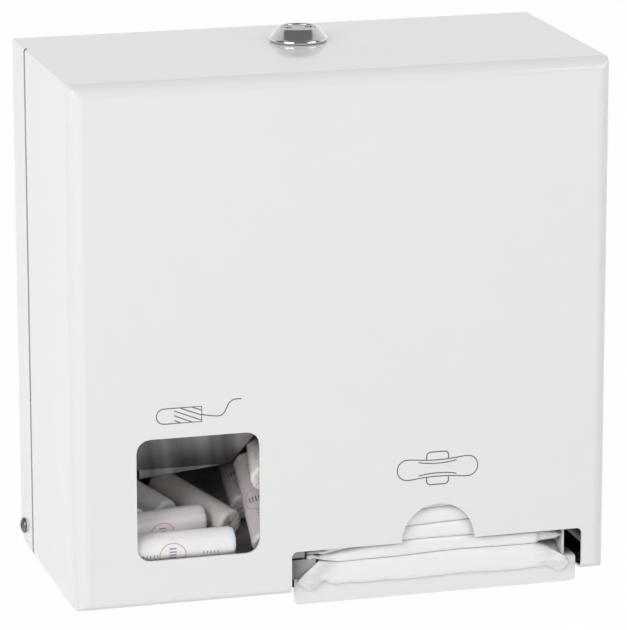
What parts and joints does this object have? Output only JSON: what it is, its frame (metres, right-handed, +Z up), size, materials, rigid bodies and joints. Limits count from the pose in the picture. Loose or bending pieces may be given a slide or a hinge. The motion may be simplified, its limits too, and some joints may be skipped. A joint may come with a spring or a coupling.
{
  "type": "tampon and pad dispenser",
  "caption": "Wall-hung sheet steel dispenser with a window over a chute of wrapped tampons, a slot and tray for wrapped pads, and a lockable cover that swings forward.",
  "frame": {"origin": "middle of the wall face, in the plane of the wall, midway across and midway up the case", "axes": "+Y into the wall, so the front faces -Y; +Z up; +X to the viewer's right"},
  "size_m": [0.244, 0.115, 0.2422],
  "materials": {
    "white_powder_coat": "satin white powder coat",
    "brushed_steel": "bare brushed sheet",
    "zinc_plated_steel": "zinc plated",
    "chrome": "polished",
    "satin_nickel": "satin nickel plate",
    "dark_steel": "blackened",
    "natural_nylon": "natural",
    "pad_wrapper_film": "thin matt film over a soft pad",
    "tampon_wrapper_film": "thin film over a soft roll"
  },
  "bodies": {
    "case": {"back_panel": "white_powder_coat", "baffle_rivet_1": "zinc_plated_steel", "baffle_rivet_2": "zinc_plated_steel", "base_plate": "brushed_steel", "base_rivet_1": "zinc_plated_steel", "base_rivet_2": "zinc_plated_steel", "bin_rivet_1": "zinc_plated_steel", "bin_rivet_2": "zinc_plated_steel", "bin_rivet_3": "zinc_plated_steel", "bin_side": "brushed_steel", "centre_partition": "brushed_steel", "chute_rivet_1": "zinc_plated_steel", "chute_rivet_2": "zinc_plated_steel", "hinge_bush_left": "natural_nylon", "hinge_bush_right": "natural_nylon", "hinge_nut_left": "zinc_plated_steel", "hinge_nut_right": "zinc_plated_steel", "hinge_screw_left": "dark_steel", "hinge_screw_right": "dark_steel", "keeper_rivet_1": "zinc_plated_steel", "keeper_rivet_2": "zinc_plated_steel", "latch_keeper": "zinc_plated_steel", "magazine_rivet_1": "zinc_plated_steel", "magazine_rivet_2": "zinc_plated_steel", "magazine_rivet_3": "zinc_plated_steel", "magazine_side": "white_powder_coat", "pad_1": "pad_wrapper_film", "pad_2": "pad_wrapper_film", "pad_3": "pad_wrapper_film", "pad_4": "pad_wrapper_film", "pad_5": "pad_wrapper_film", "pad_6": "pad_wrapper_film", "pad_7": "pad_wrapper_film", "pad_8": "pad_wrapper_film", "pad_tray": "white_powder_coat", "partition_rivet_1": "zinc_plated_steel", "partition_rivet_2": "zinc_plated_steel", "partition_rivet_3": "zinc_plated_steel", "tampon_1": "tampon_wrapper_film", "tampon_2": "tampon_wrapper_film", "tampon_3": "tampon_wrapper_film", "tampon_4": "tampon_wrapper_film", "tampon_5": "tampon_wrapper_film", "tampon_6": "tampon_wrapper_film", "tampon_7": "tampon_wrapper_film", "tampon_8": "tampon_wrapper_film", "tampon_baffle": "brushed_steel", "tampon_chute": "brushed_steel", "tray_rivet_1": "zinc_plated_steel", "tray_rivet_2": "zinc_plated_steel", "tray_rivet_3": "zinc_plated_steel"},
    "cover": {"cover": "white_powder_coat", "lock_housing": "chrome", "lock_nut": "zinc_plated_steel"},
    "lock_barrel": {"lock_plug": "satin_nickel", "lock_cam": "zinc_plated_steel", "cam_nut": "zinc_plated_steel"}
  },
  "joints": [
    {"name": "cover_hinge", "type": "hinge", "parent": "case", "child": "cover", "pos_m": [0, -0.008, -0.107], "axis": [1, 0, 0], "range_deg": [0, 88]},
    {"name": "lock_turn", "type": "hinge", "parent": "cover", "child": "lock_barrel", "pos_m": [0, -0.0395, 0.115], "axis": [0, 0, -1], "range_deg": [0, 90]}
  ]
}
